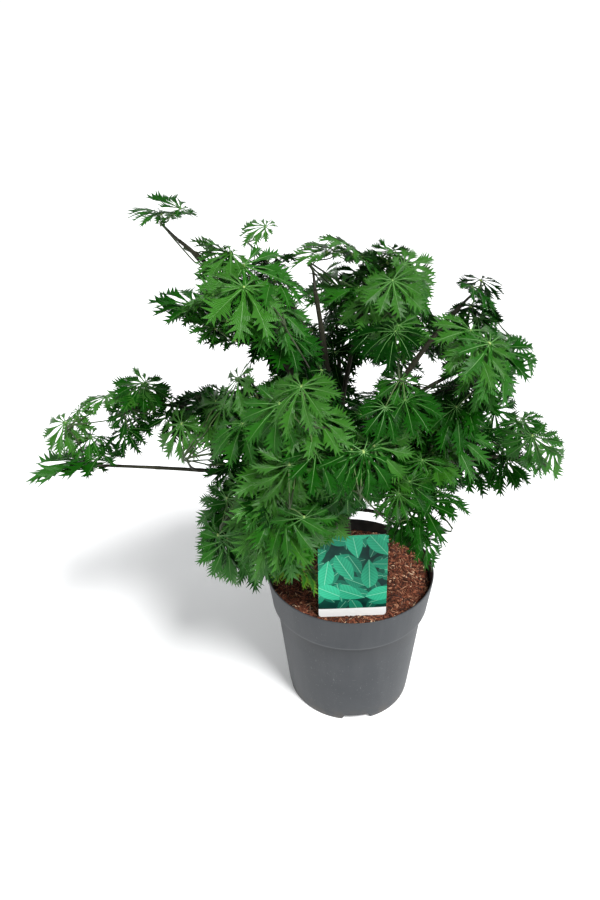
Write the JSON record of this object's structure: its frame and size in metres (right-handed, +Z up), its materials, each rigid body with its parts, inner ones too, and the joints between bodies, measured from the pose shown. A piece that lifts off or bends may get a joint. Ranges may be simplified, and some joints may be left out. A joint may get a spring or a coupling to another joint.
{
  "type": "potted full moon maple",
  "caption": "Bushy young maple with large, deeply cut and toothed green leaves, one long shoot and one low arm to the left, in a round grey nursery pot of bark mulch with a picture card.",
  "frame": {"origin": "on the ground, under the middle of the whole plant's bounding box; the pot's axis stands at x = 0.0853 m, y = -0.0468 m", "axes": "+Z up, -Y towards the front with the card, +X to the right seen from the front"},
  "size_m": [0.832, 0.5726, 0.862],
  "materials": {
    "pot_plastic": "satin",
    "bark_mulch": "matte",
    "card_print": "satin",
    "bark": "matte",
    "leaf_green": "satin"
  },
  "bodies": {
    "root": {"pot": "pot_plastic", "soil": "bark_mulch", "card": "card_print", "trunk": "bark", "stem_left": "bark", "stem_middle": "bark", "stem_right": "bark", "stem_front": "bark", "stem_back": "bark", "bough_arm": "bark", "bough_left": "bark", "bough_top_left": "bark", "bough_top_right": "bark", "bough_right": "bark", "bough_right_low": "bark", "bough_front_right": "bark", "bough_front_low": "bark", "bough_front_left": "bark", "bough_left_low": "bark", "bough_back_left": "bark", "bough_back_right": "bark", "shoot_tip": "leaf_green", "shoot_middle": "leaf_green", "shoot_foot": "leaf_green", "top_left": "leaf_green", "top_middle": "leaf_green", "top_right": "leaf_green", "upper_middle": "leaf_green", "upper_right": "leaf_green", "right_top": "leaf_green", "right_shoulder": "leaf_green", "right_front_top": "leaf_green", "front_right_top": "leaf_green", "right_middle": "leaf_green", "right_tip": "leaf_green", "right_back_low": "leaf_green", "front_right_middle": "leaf_green", "front_right_low": "leaf_green", "rim_right": "leaf_green", "front_low": "leaf_green", "front_top": "leaf_green", "front_left_top": "leaf_green", "left_front_middle": "leaf_green", "front_left": "leaf_green", "front_left_low": "leaf_green", "left_low": "leaf_green", "rim_left": "leaf_green", "rim_front": "leaf_green", "card_leaf": "leaf_green", "left_middle": "leaf_green", "left_upper": "leaf_green", "arm_tip": "leaf_green", "arm_upper": "leaf_green", "arm_middle": "leaf_green", "back_top": "leaf_green", "back_left_top": "leaf_green", "back_right_top": "leaf_green", "back_left_low": "leaf_green", "back_right_low": "leaf_green", "back_middle": "leaf_green"}
  },
  "joints": []
}
